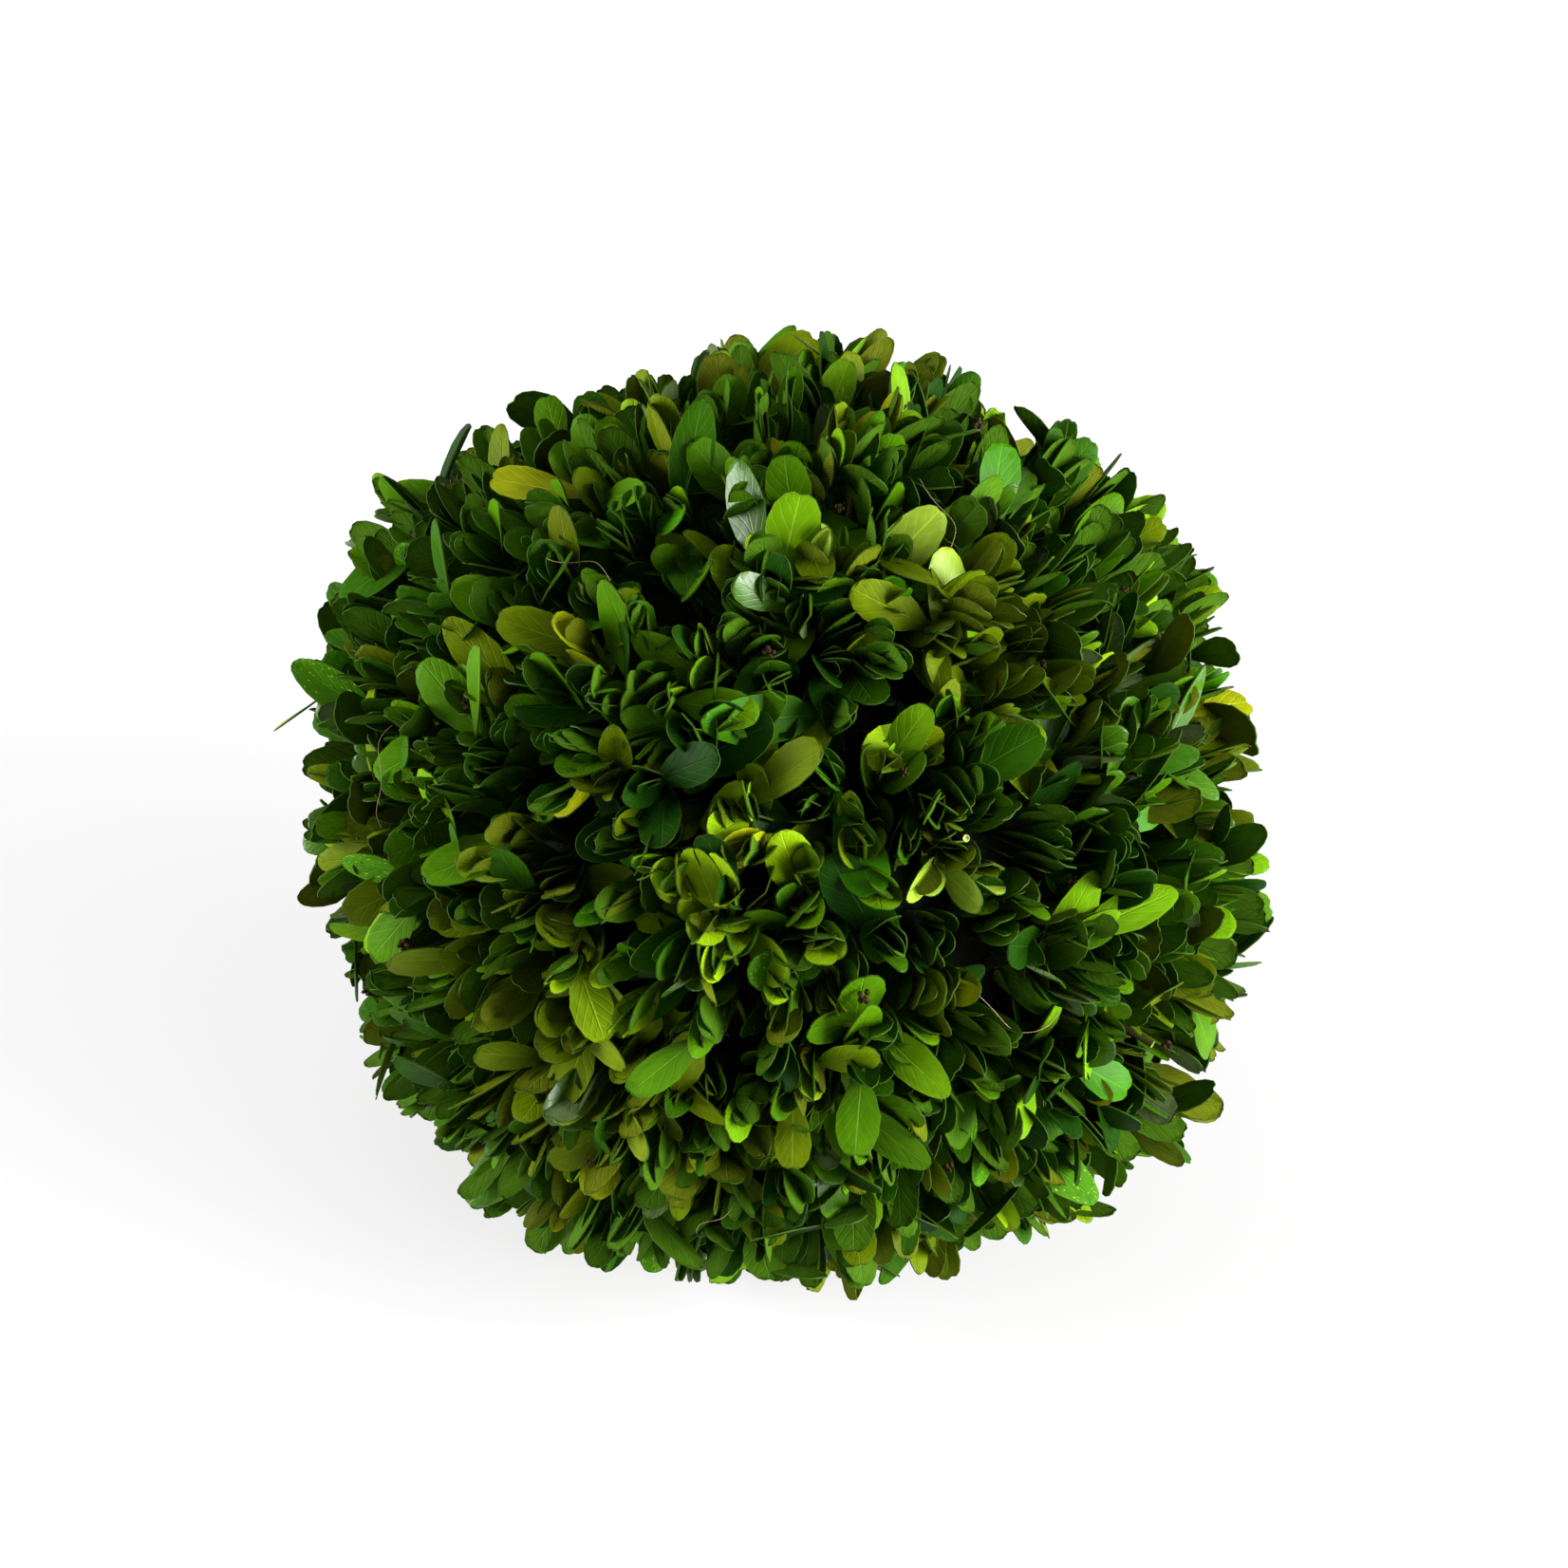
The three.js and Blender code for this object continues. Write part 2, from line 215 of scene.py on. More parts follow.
def direction_at(azimuth, elevation):
    """The direction from the ball's middle at an azimuth and elevation."""
    around, up = math.radians(azimuth), math.radians(elevation)
    flat = math.cos(up)
    return np.array([flat * math.cos(around), flat * math.sin(around), math.sin(up)])


def reach_along(direction):
    """Distance of the leaf tips from the ball's middle, fuller at the shoulders."""
    reach = REACH
    for azimuth, elevation, rise, spread in SHOULDERS + SWELLS:
        cosine = float(np.clip(direction @ direction_at(azimuth, elevation), -1, 1))
        reach += rise * math.exp(-((math.degrees(math.acos(cosine)) / spread) ** 2))
    return reach


def cross_axes(axis, turn):
    """Two directions square to an axis and to each other, turned round it by an angle."""
    helper = np.array([0.0, 0, 1]) if abs(axis[2]) < 0.9 else np.array([1.0, 0, 0])
    first = unit(np.cross(helper, axis))
    second = np.cross(axis, first)
    side = first * math.cos(turn) + second * math.sin(turn)
    return side, np.cross(axis, side)


def spiral(count, wander):
    """Directions spread evenly over the ball on a spiral, each a little off its place."""
    found = []
    for i in range(count):
        height = 1 - 2 * (i + 0.5) / count
        around = i * GOLDEN_ANGLE
        flat = math.sqrt(1 - height**2)
        base = np.array([flat * math.cos(around), flat * math.sin(around), height])
        side, _ = cross_axes(base, any_turn())
        found.append(unit(base + side * math.tan(math.radians(wander)) * luck.random()))
    return found


def pressed_out(base):
    """A direction over the flat underside is turned out to the foot's rim."""
    limit = math.radians(FOOT_RIM_ANGLE)
    if -base[2] < math.cos(limit):
        return base
    flat = unit(np.array([base[0], base[1], 0]))
    return flat * math.sin(limit) - np.array([0, 0, math.cos(limit)])


# Finishes


def linear(hex_colour):
    """An sRGB hex colour as the linear colour that a shader takes."""
    parts = [int(hex_colour[i : i + 2], 16) / 255 for i in (1, 3, 5)]
    return (
        *[p / 12.92 if p <= 0.04045 else ((p + 0.055) / 1.055) ** 2.4 for p in parts],
        1.0,
    )


def toned(colour, gain, lift=0.0):
    """A linear colour made darker or paler."""
    return (*[min(1.0, gain * value + lift) for value in colour[:3]], 1.0)


def give(material, node, inputs):
    """Sets a node's inputs; one that is given a socket is linked to it."""
    for name, value in inputs.items():
        if isinstance(value, bpy.types.NodeSocket):
            material.node_tree.links.new(value, node.inputs[name])
        else:
            node.inputs[name].default_value = value


def add_node(material, kind, inputs, **settings):
    """Adds a node with its settings and inputs."""
    made = material.node_tree.nodes.new("ShaderNode" + kind)
    for name, value in settings.items():
        setattr(made, name, value)
    give(material, made, inputs)
    return made


def worked_out(material, operation, *values):
    """The result of a Math node's operation on the values."""
    made = add_node(material, "Math", dict(enumerate(values)), operation=operation)
    return made.outputs[0]


def ramp(material, value, start, end, low=0.0, high=1.0, kind="LINEAR"):
    """A value's stretch from start to end, spread over low to high and held beyond."""
    inputs = {"Value": value, "From Min": start, "From Max": end, "To Min": low, "To Max": high}
    return add_node(material, "MapRange", inputs, interpolation_type=kind).outputs["Result"]


def mixed(material, share, first, second):
    """A colour that goes over from the first to the second with the share."""
    inputs = {0: share, 6: first, 7: second}
    return add_node(material, "Mix", inputs, data_type="RGBA").outputs[2]


def new_finish(name):
    """A material with only its Principled shader and output."""
    material = bpy.data.materials.new(name)
    material.use_nodes = True
    return material, material.node_tree.nodes["Principled BSDF"]


def grainy_finish(name, dark, pale, grain, relief, shine):
    """A matte finish whose tones and relief follow one fine grain."""
    material, shader = new_finish(name)
    place = add_node(material, "TexCoord", {}).outputs["Object"]
    noise = add_node(material, "TexNoise", {"Vector": place, **grain}).outputs["Fac"]
    bump = add_node(material, "Bump", {"Height": noise, **relief}).outputs["Normal"]
    skin = mixed(material, noise, linear(dark), linear(pale))
    give(material, shader, {"Base Color": skin, "Normal": bump, **shine})
    return material


# A leaf's map goes across it from edge to edge, with the midrib at 0.5, and along it from
# its stalk to its tip. The places across are measured from the midrib.
MIDRIB_SIDE = (0.008, 0.028)
RIM_SIDE = (0.472, 0.494)
VEIN_SLANT = 0.55
VEIN_WAVES = 52
VEIN_CREST = 0.72
# The painted shade at each leaf's stalk end, where it sits among the leaves round it: where it
# starts and ends, and its share at both
STALK_PAINTED_SHADE = (0.05, 0.62, 0.9, 0)
# One slow noise gives the dark patches and, less sharply, the worn ones
MOTTLE = {"Scale": 3.2, "Detail": 3, "Roughness": 0.6}
PATCH_SPAN = (0.35, 0.65)
WORN_SPAN = (0.3, 0.7)
SMOOTHER_BY = 0.07
ROUGHER_BY = 0.09
SPECK_SCALE = 15
SPECK_SIDE = (0.12, 0.2)
SPECK_COLOUR = "#c9cc5a"
SPECKS = 0.8
# Shares of their own colour that show
VEIN_SHARE = 0.08
MIDRIB_SHARE = 0.32
RIM_SHARE = 0.15
# Tones of the skin's dark patches and of the painted shade at its stalk end
PATCH_TONE = 0.78
STALK_PAINTED_SHADE_TONE = 0.3
# Depth of the midrib's groove, and how far the face falls to its edges and ends beside it
LEAF_RELIEF = 0.14
VEIN_DEPTH = 0.35
DOME_ACROSS = 14
DOME_ALONG = 20
DOME_MIDDLE = 0.55


def leaf_finish(name, colour, vein, rim, wax, specks=0.0, relief=1.0, arch=1.0):
    """A preserved box leaf: waxy skin, sunk midrib, faint side veins, a faint rim and painted
    shade at its stalk end.

    Its upper face is gently domed across and along, so the light rolls over it.
    """
    material, shader = new_finish(name)
    place = add_node(material, "UVMap", {}, uv_map="leaf").outputs["UV"]
    parts = add_node(material, "SeparateXYZ", {"Vector": place}).outputs
    along = parts["Y"]
    off = worked_out(material, "SUBTRACT", parts["X"], 0.5)
    across = worked_out(material, "ABSOLUTE", off)
    midrib = ramp(material, across, *MIDRIB_SIDE, 1, 0, kind="SMOOTHSTEP")
    slant = worked_out(material, "MULTIPLY_ADD", across, -VEIN_SLANT, along)
    waves = worked_out(material, "SINE", worked_out(material, "MULTIPLY", slant, VEIN_WAVES))
    veins = ramp(material, waves, VEIN_CREST, 1)
    mottle = add_node(material, "TexNoise", {"Vector": place, **MOTTLE}).outputs["Fac"]
    patches = ramp(material, mottle, *PATCH_SPAN)
    # What is laid over the skin, in this order, with the share of each
    layers = [
        (worked_out(material, "MULTIPLY", veins, VEIN_SHARE), vein),
        # Painted shade darkens each leaf towards its stalk end
        (ramp(material, along, *STALK_PAINTED_SHADE), toned(colour, STALK_PAINTED_SHADE_TONE)),
    ]
    if specks:
        inputs = {"Vector": place, "Scale": SPECK_SCALE}
        cells = add_node(material, "TexVoronoi", inputs).outputs["Distance"]
        dots = ramp(material, cells, *SPECK_SIDE, specks, 0)
        layers.append((dots, linear(SPECK_COLOUR)))
    layers.append((worked_out(material, "MULTIPLY", midrib, MIDRIB_SHARE), vein))
    edge = ramp(material, across, *RIM_SIDE)
    layers.append((worked_out(material, "MULTIPLY", edge, RIM_SHARE), rim))
    skin = mixed(material, patches, toned(colour, PATCH_TONE), colour)
    for share, layer in layers:
        skin = mixed(material, share, skin, layer)
    height = worked_out(material, "SUBTRACT", mottle, midrib)
    height = worked_out(material, "MULTIPLY_ADD", veins, -VEIN_DEPTH, height)
    height = worked_out(material, "MULTIPLY", height, relief)
    lift = worked_out(material, "SUBTRACT", along, DOME_MIDDLE)
    for offset, dome in ((off, DOME_ACROSS), (lift, DOME_ALONG)):
        square = worked_out(material, "MULTIPLY", offset, offset)
        height = worked_out(material, "MULTIPLY_ADD", square, -dome * arch, height)
    inputs = {"Strength": 1, "Distance": LEAF_RELIEF * MM, "Height": height}
    bump = add_node(material, "Bump", inputs).outputs["Normal"]
    roughness, specular = wax
    smoothest, roughest = roughness - SMOOTHER_BY, roughness + ROUGHER_BY
    rough = ramp(material, mottle, *WORN_SPAN, smoothest, roughest)
    inputs = {"Base Color": skin, "Normal": bump, "Roughness": rough}
    give(material, shader, {**inputs, "Specular IOR Level": specular})
    return material


def rim_finish():
    """The thin edge of a leaf: one dark green, worn matte in places."""
    material, shader = new_finish("cut_leaf_rim")
    place = add_node(material, "UVMap", {}, uv_map="leaf").outputs["UV"]
    grain = add_node(material, "TexNoise", {"Vector": place, "Scale": 12}).outputs["Fac"]
    inputs = {
        "Base Color": linear("#2b4406"),
        "Roughness": ramp(material, grain, 0, 1, 0.42, 0.62),
        "Specular IOR Level": 0.06,
    }
    give(material, shader, inputs)
    return material


# Roughness and specular level: most leaves are dull, a few keep the wax of fresh ones
DULL = (0.46, 0.04)
WAXY = {"waxed": (0.3, 0.36), "cool_emerald": (0.38, 0.07), "pale_lime": (0.38, 0.2)}
BACK_WAX = (0.65, 0.05)
# The waxy faces are smoother, and the backs are coarser and hollow
WAXY_RELIEF = 0.4
BACK_RELIEF = 1.4
BACK_ARCH = -0.7
# Veins and rims are the skin's colour with this gain and lift
FACE_VEIN = (2.1, 0.02)
FACE_RIM = (1.9, 0.01)
BACK_VEIN = (1.6, 0.02)


def leaf_finishes():
    """Upper faces, then backs, then the cut rim, in the order of the tiles."""
    made = []
    for name, hex_colour, _, _ in TINTS:
        colour = linear(hex_colour)
        made.append(
            leaf_finish(
                "preserved_leaf_" + name,
                colour,
                vein=toned(colour, *FACE_VEIN),
                rim=toned(colour, *FACE_RIM),
                wax=WAXY.get(name, DULL),
                specks=SPECKS if name == "speckled" else 0.0,
                relief=WAXY_RELIEF if name in WAXY else 1.0,
            )
        )
    for name, hex_colour in BACKS:
        colour = linear(hex_colour)
        made.append(
            leaf_finish(
                "matte_leaf_back_" + name,
                colour,
                vein=toned(colour, *BACK_VEIN),
                rim=toned(colour, *BACK_VEIN),
                wax=BACK_WAX,
                relief=BACK_RELIEF,
                arch=BACK_ARCH,
            )
        )
    made.append(rim_finish())
    return made


def twig_finish():
    """Young box bark: green-brown, finely ridged and dull."""
    return grainy_finish(
        "dried_twig_bark",
        dark="#2c2a12",
        pale="#5c5424",
        grain={"Scale": 420, "Detail": 3},
        relief={"Strength": 0.6, "Distance": 0.4 * MM},
        shine={"Roughness": 0.75, "Specular IOR Level": 0.2},
    )


def cut_wood_finish():
    """A snipped box twig: cream-green wood, matte and finely grained."""
    return grainy_finish(
        "snipped_green_wood",
        dark="#7d8847",
        pale="#a1ac63",
        grain={"Scale": 900, "Detail": 2},
        relief={"Strength": 0.4, "Distance": 0.2 * MM},
        shine={"Roughness": 0.8, "Specular IOR Level": 0.15},
    )


def bud_finish():
    """Dried box buds: brown, crumbly and dull."""
    return grainy_finish(
        "dried_bud",
        dark="#140f08",
        pale="#3f3218",
        grain={"Scale": 700, "Detail": 3},
        relief={"Strength": 0.8, "Distance": 0.5 * MM},
        shine={"Roughness": 0.9, "Specular IOR Level": 0.1},
    )


def fibre_finish():
    """Dry strands: pale straw, darker in places."""
    return grainy_finish(
        "dry_plant_fibre",
        dark="#6d5a3c",
        pale="#a99a78",
        grain={"Scale": 300, "Detail": 2},
        relief={"Strength": 0.3, "Distance": 0.1 * MM},
        shine={"Roughness": 0.75, "Specular IOR Level": 0.3},
    )


def painted_shade_core_finish():
    """Near-black painted shade for the gaps between the bunches, so little light comes back out.
    """
    return grainy_finish(
        "core_painted_shade",
        # These near-black tones are painted shade for the deep gaps
        dark="#060803",
        pale="#12160a",
        grain={"Scale": 260, "Detail": 4},
        relief={"Strength": 0.9, "Distance": 2 * MM},
        shine={"Roughness": 0.9, "Specular IOR Level": 0.1},
    )


# Forms, each modelled once


def pick(test):
    """In edit mode, selects the points of the shape for which the test holds."""
    shape = bmesh.from_edit_mesh(bpy.context.object.data)
    for point in shape.verts:
        point.select = test(point.co)
    shape.select_flush_mode()
    bmesh.update_edit_mesh(bpy.context.object.data)


def arrays_of(piece):
    """The points, faces, slots and map of a modelled shape, which is then removed."""
    mesh = piece.data
    points = np.array([v.co for v in mesh.vertices])
    faces = np.array([list(f.vertices) for f in mesh.polygons])
    slots = np.array([f.material_index for f in mesh.polygons])
    places = np.array([list(c.uv) for c in mesh.uv_layers[0].data]).reshape(len(faces), -1, 2)
    bpy.data.objects.remove(piece)
    return {"points": points, "faces": faces, "slots": slots, "map": places}


def merged(shapes):
    """The shapes joined into one at the origin."""
    bpy.ops.object.select_all(action="DESELECT")
    for shape in shapes:
        shape.select_set(True)
    bpy.context.view_layer.objects.active = shapes[0]
    bpy.ops.object.join()
    bpy.ops.object.transform_apply(location=True, rotation=True, scale=True)
    return bpy.context.object


# Places of the rows of points along a leaf, and its half width there for each outline
ROWS = [0, 0.12, 0.3, 0.52, 0.72, 0.87, 0.96, 1]
OUTLINE = {
    "round": [0.10, 0.27, 0.68, 0.98, 0.95, 0.75, 0.47, 0.22],
    "oval": [0.10, 0.34, 0.79, 1.0, 0.88, 0.64, 0.37, 0.17],
    "spoon": [0.10, 0.19, 0.46, 0.84, 1.0, 0.86, 0.56, 0.27],
}
# Each form: outline, length, width, notch as a share of the length, fold and curl as shares
# of the width, and twist
LEAF_FORMS = [
    ("round", 17.2, 7.8, 0.022, 0.07, -0.05, 0),
    ("spoon", 18.2, 7.3, 0.030, 0.05, 0.09, 8),
    ("oval", 18.2, 6.8, 0.004, 0.10, -0.10, -10),
    ("round", 15.6, 7.9, 0.030, 0.04, 0.12, 0),
    ("spoon", 19.2, 7.7, 0.016, 0.14, -0.06, 12),
    ("oval", 16.1, 5.9, 0.002, 0.22, 0.12, -16),
    ("round", 18.2, 8.2, 0.008, 0.03, -0.16, 6),
    ("oval", 19.8, 7.4, 0.008, 0.08, 0.03, 16),
]
LEAF_LENGTHS = [form[1] for form in LEAF_FORMS]
LEAF_THICKNESS = 0.24
TIP_ROUNDING = 0.012
# A finished row is moved on by this, so that the next pick misses it
ROWS_ASIDE = 2
RIM_SLOT = 2


def leaf_form(outline, length, width, notch, fold, curl, twist):
    """One leaf from its stalk at the origin along Y, its upper face towards Z."""
    bpy.ops.object.select_all(action="DESELECT")
    steps = len(ROWS) - 1
    bpy.ops.mesh.primitive_grid_add(x_subdivisions=2, y_subdivisions=steps, size=1, calc_uvs=True)
    leaf = bpy.context.object
    bpy.ops.object.mode_set(mode="EDIT")
    # The two halves rise from the midrib
    pick(lambda co: abs(co.x) > 0.4)
    bpy.ops.transform.translate(value=(0, 0, fold))
    for row, place in enumerate(ROWS):
        middle = row / steps - 0.5
        share = OUTLINE[outline][row]
        turn = math.radians(twist * place)
        pick(lambda co: abs(co.y - middle) < 0.1 / steps)
        bpy.ops.transform.resize(value=(share, 1, share), center_override=(0, middle, 0))
        bpy.ops.transform.rotate(value=turn, orient_axis="Y", center_override=(0, middle, 0))
        onward = ROWS_ASIDE + place - middle
        bpy.ops.transform.translate(value=(0, onward, curl * place**2))
    # The tip is rounded off and often notched over the midrib
    tip = ROWS_ASIDE + 0.99
    pick(lambda co: co.y > tip and abs(co.x) > 0.05)
    bpy.ops.transform.translate(value=(0, -TIP_ROUNDING, 0))
    pick(lambda co: co.y > tip and abs(co.x) < 0.05)
    bpy.ops.transform.translate(value=(0, -notch, 0))
    bpy.ops.mesh.select_all(action="SELECT")
    bpy.ops.transform.translate(value=(0, -ROWS_ASIDE, 0))
    bpy.ops.transform.resize(value=(width, length, width), center_override=(0, 0, 0))
    bpy.ops.object.mode_set(mode="OBJECT")
    blade = leaf.modifiers.new("blade", "SOLIDIFY")
    blade.thickness = LEAF_THICKNESS
    blade.offset = 0
    blade.material_offset = 1
    blade.material_offset_rim = RIM_SLOT
    for _ in range(RIM_SLOT + 1):
        leaf.data.materials.append(None)
    bpy.ops.object.modifier_apply(modifier=blade.name)
    return arrays_of(leaf)


def cylinder_add(**settings):
    """Starts to edit a cylinder of radius and height 1 that stands on the origin."""
    bpy.ops.object.select_all(action="DESELECT")
    bpy.ops.mesh.primitive_cylinder_add(radius=1, depth=1, location=(0, 0, 0.5), **settings)
    bpy.ops.object.transform_apply(location=True, rotation=True, scale=True)
    bpy.ops.object.mode_set(mode="EDIT")
    return bpy.context.object


def finished_in_triangles():
    """Ends the editing of a form, all in triangles."""
    bpy.ops.mesh.select_all(action="SELECT")
    bpy.ops.mesh.quads_convert_to_tris()
    bpy.ops.object.mode_set(mode="OBJECT")


def twig_form():
    """A thin stem along Z, tapered to its tip and swollen where the upper leaves leave it."""
    stem = cylinder_add(vertices=5, end_fill_type="TRIFAN")
    for height in TWIG_JOINTS:
        bpy.ops.mesh.select_all(action="SELECT")
        bpy.ops.mesh.bisect(plane_co=(0, 0, height), plane_no=(0, 0, 1))
    pick(lambda co: co.z > 0.9)
    bpy.ops.transform.resize(value=(TWIG_TAPER, TWIG_TAPER, 1), center_override=(0, 0, 1))
    joint = TWIG_JOINTS[1]
    wider = (TWIG_SWELLING, TWIG_SWELLING, 1)
    pick(lambda co: abs(co.z - joint) < 0.1)
    bpy.ops.transform.resize(value=wider, center_override=(0, 0, joint))
    finished_in_triangles()
    return arrays_of(stem)


def snipped_form():
    """A twig cut off square: bark round the side, then the pale cut with its sunk pith."""
    stub = cylinder_add(vertices=8)
    bpy.ops.mesh.select_mode(type="VERT")
    pick(lambda co: co.z > 0.9)
    for ring in BARK_AND_WOOD:
        bpy.ops.mesh.inset(thickness=ring, depth=0)
    bpy.ops.transform.translate(value=(0, 0, -PITH_SUNK))
    finished_in_triangles()
    for face in stub.data.polygons:
        face.material_index = int(face.normal.z > 0.5)
    return arrays_of(stub)


def bud_form():
    """A small cluster of dried flower buds, one in the middle and four round it."""
    buds = []
    for place in BUDS:
        bpy.ops.object.select_all(action="DESELECT")
        bpy.ops.mesh.primitive_ico_sphere_add(subdivisions=1, radius=BUD_RADIUS, location=place)
        bpy.ops.transform.resize(value=BUD_SHAPE, center_override=place)
        buds.append(bpy.context.object)
    return arrays_of(merged(buds))


# Growth


def mass_middles():
    """The masses by name, each with the direction of its middle."""
    found = {"foliage_crown": direction_at(0, 90)}
    for i in range(RING_SIZE):
        step = i * 360 / RING_SIZE
        found[f"foliage_upper_{i + 1}"] = direction_at(UPPER_RING_AZIMUTH + step, RING_ELEVATION)
        found[f"foliage_lower_{i + 1}"] = direction_at(LOWER_RING_AZIMUTH + step, -RING_ELEVATION)
    found["foliage_foot"] = direction_at(0, -90)
    return found


def nearest(direction, others):
    """The number of the direction that lies nearest."""
    return max(range(len(others)), key=lambda i: float(direction @ others[i]))


def all_bunches():
    """Each bunch with its middle, its reach, its green and the way that it is combed."""
    middles = spiral(BUNCH_COUNT, BUNCH_WANDER)
    reaches = [varied(0, BUNCH_REACH_SPREAD) for _ in middles]
    tints = [drawn_tint(COMMON_SHARES) for _ in middles]
    combings = [luck.normal(size=3) for _ in middles]
    keys = ("middle", "reach", "tint", "combed")
    return [dict(zip(keys, values)) for values in zip(middles, reaches, tints, combings)]


def sprig_line(base, bunch):
    """A sprig's direction and tip, and the length of its bare twig."""
    side, _ = cross_axes(base, any_turn())
    # The sprigs of a bunch lean much the same way
    flow = unit(bunch["combed"] - base * float(bunch["combed"] @ base))
    side = unit(side + flow * COMBED)
    lean = abs(luck.normal(SPRIG_LEAN, SPRIG_LEAN_SPREAD))
    if luck.random() < LEANING_SHARE:
        lean += varied(LEANING_BY, LEANING_BY)
    fanned = unit(base * REACH - bunch["middle"] * BUNCH_ROOT)
    axis = unit(unit(fanned + side * lean) - np.array([0, 0, SPRIG_DROOP]))
    axis = unit(axis * (1 - STRAIGHTENED) + base * STRAIGHTENED)
    off = math.degrees(math.acos(min(1, float(base @ bunch["middle"])))) / BUNCH_HALF_ANGLE
    reach = varied(reach_along(base), SPRIG_REACH_SPREAD) + bunch["reach"]
    reach -= TIPS_WITHIN + BUNCH_VALLEY * off**2
    return axis, base * reach, reach - TWIG_TIP_DEPTH - TWIG_ROOT


def leaf_frame(axis, bearing, spread, roll):
    """Across, along and upper face of a leaf that spreads from its twig's line."""
    side, _ = cross_axes(axis, bearing)
    lean = math.radians(spread)
    along = axis * math.cos(lean) + side * math.sin(lean)
    upper = axis * math.sin(lean) - side * math.cos(lean)
    across = np.cross(along, upper)
    turn = math.radians(roll)
    rolled = upper * math.cos(turn) + across * math.sin(turn)
    return np.stack([np.cross(along, rolled), along, rolled], 1)


def sprig_leaves(base, axis, tip, tint):
    """A sprig's leaves from its tip down: form, stalk end, size and turn, and green of each."""
    # A sprig that leans over stands its blades on edge, along its own lean
    right, ahead = cross_axes(axis, 0)
    edge = unit(np.cross(base, axis))
    turn = math.atan2(float(ahead @ edge), float(right @ edge)) + luck.normal(0, EDGE_WANDER)
    pair_turn = math.pi / 2
    if luck.random() < TWO_RANKED_SHARE:
        pair_turn *= TWO_RANKED_TURN
    pairs = LEAF_PAIRS if luck.random() < LOWEST_PAIR_SHARE else LEAF_PAIRS[:-1]
    found = []
    for step, pair in enumerate(pairs):
        for half in (0, 1):
            size = pair["size"] * varied(1, LEAF_SIZE_SPREAD)
            spread = pair["spread"] * varied(1, LEAF_SPREAD_SHARE)
            if luck.random() < SPLAYED_SHARE:
                spread += varied(SPLAYED_BY, SPLAYED_BY_SPREAD)
                size *= SPLAYED_SIZE
            form = int(luck.integers(len(LEAF_FORMS)))
            length = size * LEAF_LENGTHS[form]
            drop = max(varied(pair["drop"], LEAF_REACH_SPREAD), 0)
            bearing = varied(turn + step * pair_turn + half * math.pi, LEAF_BEARING_SPREAD)
            turned = leaf_frame(axis, bearing, spread, varied(0, LEAF_ROLL_SPREAD))
            root = tip - axis * (length * math.cos(math.radians(spread)) + drop)
            # A tip that would stray out of the clipped ball is drawn in
            far = root + turned[:, 1] * length
            excess = np.linalg.norm(far) - reach_along(unit(far)) - STRAY
            root = root - axis * max(excess, 0)
            own = drawn_tint(TINT_SHARES) if luck.random() < LEAF_OWN_TINT else tint
            found.append((form, root, turned * size, own))
    return found


def pressed_leaf():
    """A leaf that lies flat under the foot, in the same terms as a sprig's."""
    around = any_turn()
    out = PRESSED_RADIUS * math.sqrt(luck.random())
    flat = np.array([math.cos(around), math.sin(around), 0.0])
    height = PRESSED_LAYER * luck.random() + PRESSED_LOWEST - CENTRE_HEIGHT
    root = flat * out + np.array([0, 0, height])
    heading = unit(flat + PRESSED_SCATTER * luck.normal(size=3) * PRESSED_LEVEL)
    upper = -unit(np.array([0, 0, 1.0]) + PRESSED_TILT * luck.normal(size=3))
    upper = unit(upper - heading * (upper @ heading))
    turned = np.stack([np.cross(heading, upper), heading, upper], 1)
    form = int(luck.integers(len(LEAF_FORMS)))
    tint = drawn_tint(TINT_SHARES)
    return form, root, turned * varied(*PRESSED_SIZE), tint


def grow():
    """All leaves and twigs, in a list for each mass."""
    middles = mass_middles()
    names, directions = list(middles), list(middles.values())
    bunches = all_bunches()
    bunch_middles = [bunch["middle"] for bunch in bunches]
    leaves = {name: [] for name in names}
    twigs = {name: [] for name in names}
    for base in spiral(SPRIG_COUNT, SPRIG_WANDER):
        base = pressed_out(base)
        mass = names[nearest(base, directions)]
        bunch = bunches[nearest(base, bunch_middles)]
        axis, tip, length = sprig_line(base, bunch)
        tint = drawn_tint(TINT_SHARES) if luck.random() < SPRIG_OWN_TINT else bunch["tint"]
        twigs[mass].append((tip - axis * (length + TWIG_TIP_DEPTH), axis, length))
        leaves[mass] += sprig_leaves(base, axis, tip, tint)
    leaves["foliage_foot"] += [pressed_leaf() for _ in range(PRESSED_COUNT)]
    return leaves, twigs


# Pieces

# The map named OFBake gives each finish a tile of its own
TILES = 4
TILE_MARGIN = 0.03
WHOLE_TILE = np.array([[0, 0], [1, 0], [1, 1], [0, 1.0]])
SMOOTH_ANGLE = 50


def placed(form, turned, root):
    """A form's points in their place, given from the ball's middle, over the ground.

    Those near or under the ground are pressed flat onto it, the lowest the most.
    """
    points = form["points"] @ turned.T + root
    points[:, 2] += CENTRE_HEIGHT
    low = points[:, 2] < PRESSED_HEIGHT
    squeezed = np.exp(points[low, 2] / PRESSED_HEIGHT - 1)
    points[low, 2] = PRESSED_GAP + squeezed * (PRESSED_HEIGHT - PRESSED_GAP)
    return points


